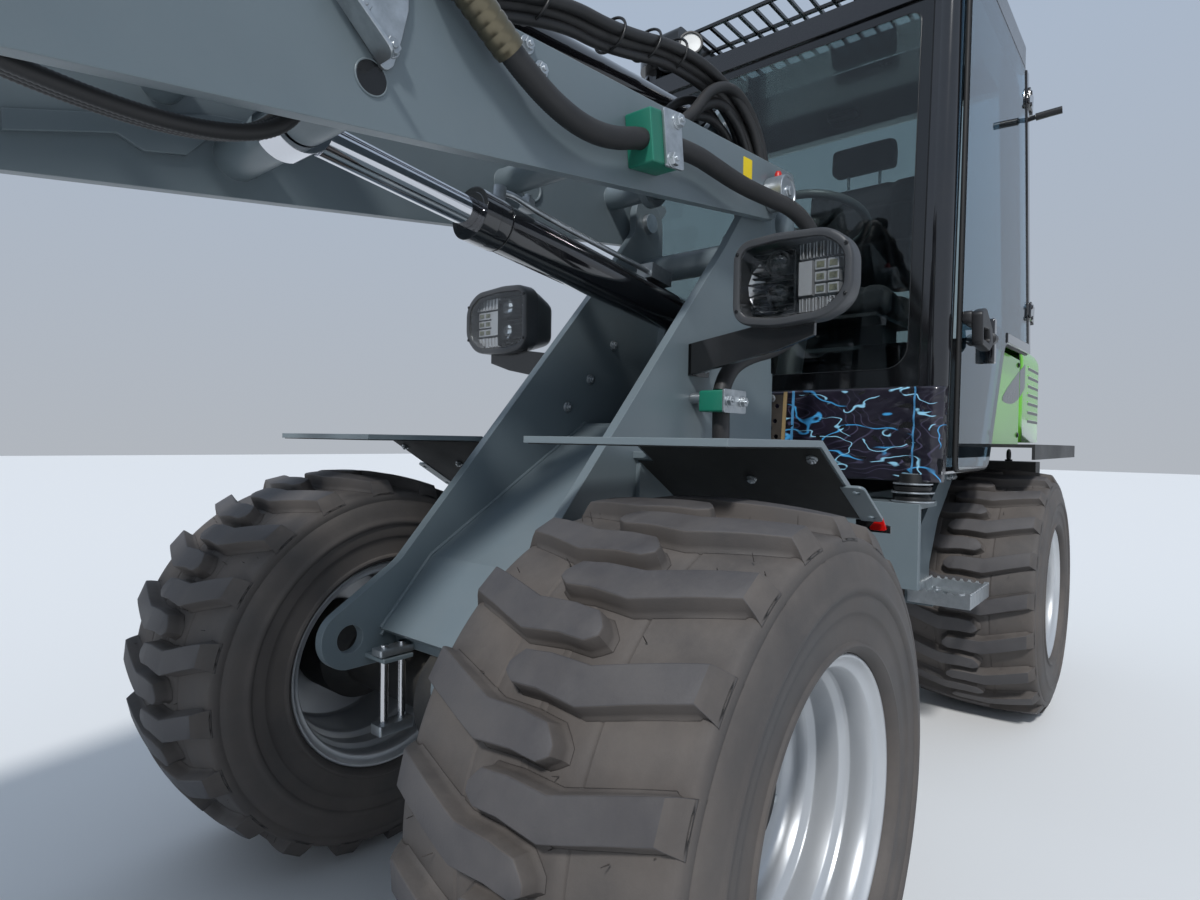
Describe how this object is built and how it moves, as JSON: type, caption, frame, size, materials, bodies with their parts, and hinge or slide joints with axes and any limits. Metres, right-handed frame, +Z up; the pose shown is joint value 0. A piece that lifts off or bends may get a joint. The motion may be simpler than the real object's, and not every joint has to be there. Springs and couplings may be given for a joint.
{
  "type": "articulated compact wheel loader",
  "caption": "Centre-pivot wheel loader with glazed cab, twin-plate boom, bucket and wide tyres; its steering, boom, bucket, door, bonnet and wheels move.",
  "frame": {"origin": "on the ground below the middle of the machine, halfway between bucket lip and drawbar", "axes": "+X forward, +Y to the left, +Z up"},
  "size_m": [4.6521, 1.4, 2.2503],
  "materials": {
    "frame_paint": "semi-gloss blue-grey paint",
    "boom_paint": "semi-gloss blue-grey paint",
    "rim_paint": "silver paint",
    "tyre": "matte rubber",
    "black_paint": "gloss black paint",
    "green_paint": "gloss lime green paint",
    "chrome": "polished",
    "steel": "bright zinc",
    "iron": "black",
    "weight_iron": "dark grey paint",
    "glass": "tinted",
    "lens": "clear",
    "lamp_plastic": "black",
    "red_lens": "red",
    "seat_fabric": "black",
    "cab_plastic": "black",
    "bucket_paint": "semi-gloss blue-grey paint",
    "film": "dark film",
    "hose_rubber": "ribbed black sleeve",
    "clamp": "teal"
  },
  "bodies": {
    "rear_frame": {"rear_chassis": "frame_paint", "rear_axle": "iron", "engine_block": "iron", "counterweight": "weight_iron", "cab_frame": "black_paint", "cab_roof": "black_paint", "roof_guard": "black_paint", "windscreen": "glass", "front_panel": "film", "rear_window": "glass", "side_window": "glass", "door_hinges": "black_paint", "seat": "seat_fabric", "steering_column": "cab_plastic", "steering_wheel": "cab_plastic", "control_console": "cab_plastic", "step_bracket": "frame_paint", "step_tread": "steel", "side_panels": "green_paint", "rear_fenders": "cab_plastic", "hood_hinges": "black_paint", "side_tank": "cab_plastic", "rear_lamps": "red_lens"},
    "door": {"door_frame": "black_paint", "door_glass": "glass"},
    "bonnet": {"hood": "green_paint"},
    "front_frame": {"front_tower": "frame_paint", "tower_plate_left": "frame_paint", "tower_plate_right": "frame_paint", "tower_pins": "steel", "front_axle": "iron", "front_fender_left": "frame_paint", "front_fender_right": "frame_paint", "headlamps": "lamp_plastic", "headlamp_lenses": "lens", "tower_hose": "hose_rubber", "tower_fittings": "clamp"},
    "boom": {"boom": "boom_paint", "tilt_base_pin": "steel", "boom_hose": "hose_rubber", "boom_fittings": "clamp"},
    "lift_barrel": {"lift_barrel": "black_paint", "lift_pipe": "steel"},
    "lift_rod": {"lift_rod": "chrome"},
    "tilt_barrel": {"tilt_barrel": "black_paint"},
    "tilt_rod": {"tilt_rod": "chrome"},
    "tilt_lever": {"tilt_lever": "boom_paint"},
    "tilt_link": {"tilt_link": "boom_paint"},
    "bucket": {"quick_hitch": "boom_paint", "bucket": "bucket_paint"},
    "steer_barrel": {"steer_barrel": "black_paint"},
    "steer_rod": {"steer_rod": "chrome"},
    "wheel_front_left": {"tyre_front_left": "tyre", "rim_front_left": "rim_paint"},
    "wheel_front_right": {"tyre_front_right": "tyre", "rim_front_right": "rim_paint"},
    "wheel_rear_left": {"tyre_rear_left": "tyre", "rim_rear_left": "rim_paint"},
    "wheel_rear_right": {"tyre_rear_right": "tyre", "rim_rear_right": "rim_paint"}
  },
  "joints": [
    {"name": "articulation", "type": "hinge", "parent": "rear_frame", "child": "front_frame", "pos_m": [-0.48585, 0, 0.595], "axis": [0, 0, 1], "range_deg": [-40, 40]},
    {"name": "boom_lift", "type": "hinge", "parent": "front_frame", "child": "boom", "pos_m": [-0.27785, 0, 1.45], "axis": [0, -1, 0], "range_deg": [-36, 46]},
    {"name": "bucket_tilt", "type": "hinge", "parent": "boom", "child": "bucket", "pos_m": [1.50415, 0, 1.202], "axis": [0, -1, 0], "range_deg": [-50, 45]},
    {"name": "door_swing", "type": "hinge", "parent": "rear_frame", "child": "door", "pos_m": [-1.68053, 0.531, 1.34], "axis": [0.1711, 0, 0.9852], "range_deg": [0, 90]},
    {"name": "bonnet_lift", "type": "hinge", "parent": "rear_frame", "child": "bonnet", "pos_m": [-1.69935, 0, 1.255], "axis": [0, 1, 0], "range_deg": [0, 50]},
    {"name": "lift_barrel_turn", "type": "hinge", "parent": "front_frame", "child": "lift_barrel", "pos_m": [-0.28585, 0, 1.162], "axis": [0, -1, 0], "range_deg": [-33.9, 43.31]},
    {"name": "lift_rod_slide", "type": "slide", "parent": "lift_barrel", "child": "lift_rod", "axis": [0.9917, 0, 0.1289], "range_m": [-0.16615, 0.21216]},
    {"name": "tilt_barrel_turn", "type": "hinge", "parent": "boom", "child": "tilt_barrel", "pos_m": [-0.31585, 0, 1.664], "axis": [0, -1, 0], "range_deg": [-1.35, 1.5]},
    {"name": "tilt_rod_slide", "type": "slide", "parent": "tilt_barrel", "child": "tilt_rod", "axis": [0.9975, 0, -0.0702], "range_m": [-0.14116, 0.15679]},
    {"name": "tilt_lever_turn", "type": "hinge", "parent": "boom", "child": "tilt_lever", "pos_m": [0.88415, 0, 1.375], "axis": [0, -1, 0], "range_deg": [-50.01, 45.01]},
    {"name": "tilt_link_turn", "type": "hinge", "parent": "tilt_lever", "child": "tilt_link", "pos_m": [0.84915, 0, 1.582], "axis": [0, -1, 0], "range_deg": [-45.01, 50.01]},
    {"name": "steer_barrel_turn", "type": "hinge", "parent": "rear_frame", "child": "steer_barrel", "pos_m": [-0.91585, 0.14, 0.6], "axis": [0, 0, 1], "range_deg": [-2.67, 2.67]},
    {"name": "steer_rod_slide", "type": "slide", "parent": "steer_barrel", "child": "steer_rod", "axis": [0.998, -0.0637, 0], "range_m": [-0.07488, 0.07488]},
    {"name": "wheel_front_left_spin", "type": "hinge", "parent": "front_frame", "child": "wheel_front_left", "pos_m": [0.42115, 0.4695, 0.3935], "axis": [0, 1, 0], "continuous": true},
    {"name": "wheel_front_right_spin", "type": "hinge", "parent": "front_frame", "child": "wheel_front_right", "pos_m": [0.42115, -0.4695, 0.3935], "axis": [0, 1, 0], "continuous": true},
    {"name": "wheel_rear_left_spin", "type": "hinge", "parent": "rear_frame", "child": "wheel_rear_left", "pos_m": [-1.39285, 0.4695, 0.3935], "axis": [0, 1, 0], "continuous": true},
    {"name": "wheel_rear_right_spin", "type": "hinge", "parent": "rear_frame", "child": "wheel_rear_right", "pos_m": [-1.39285, -0.4695, 0.3935], "axis": [0, 1, 0], "continuous": true}
  ],
  "couplings": [
    {"joint": "lift_barrel_turn", "follows": "boom_lift", "ratio": 0.9413},
    {"joint": "lift_rod_slide", "follows": "boom_lift", "m_per_rad": 0.26364},
    {"joint": "tilt_barrel_turn", "follows": "bucket_tilt", "ratio": -0.0297},
    {"joint": "tilt_rod_slide", "follows": "bucket_tilt", "m_per_rad": -0.17909},
    {"joint": "tilt_lever_turn", "follows": "bucket_tilt", "ratio": 1},
    {"joint": "tilt_link_turn", "follows": "bucket_tilt", "ratio": -1},
    {"joint": "steer_barrel_turn", "follows": "articulation", "ratio": 0.0664},
    {"joint": "steer_rod_slide", "follows": "articulation", "m_per_rad": -0.10654}
  ]
}
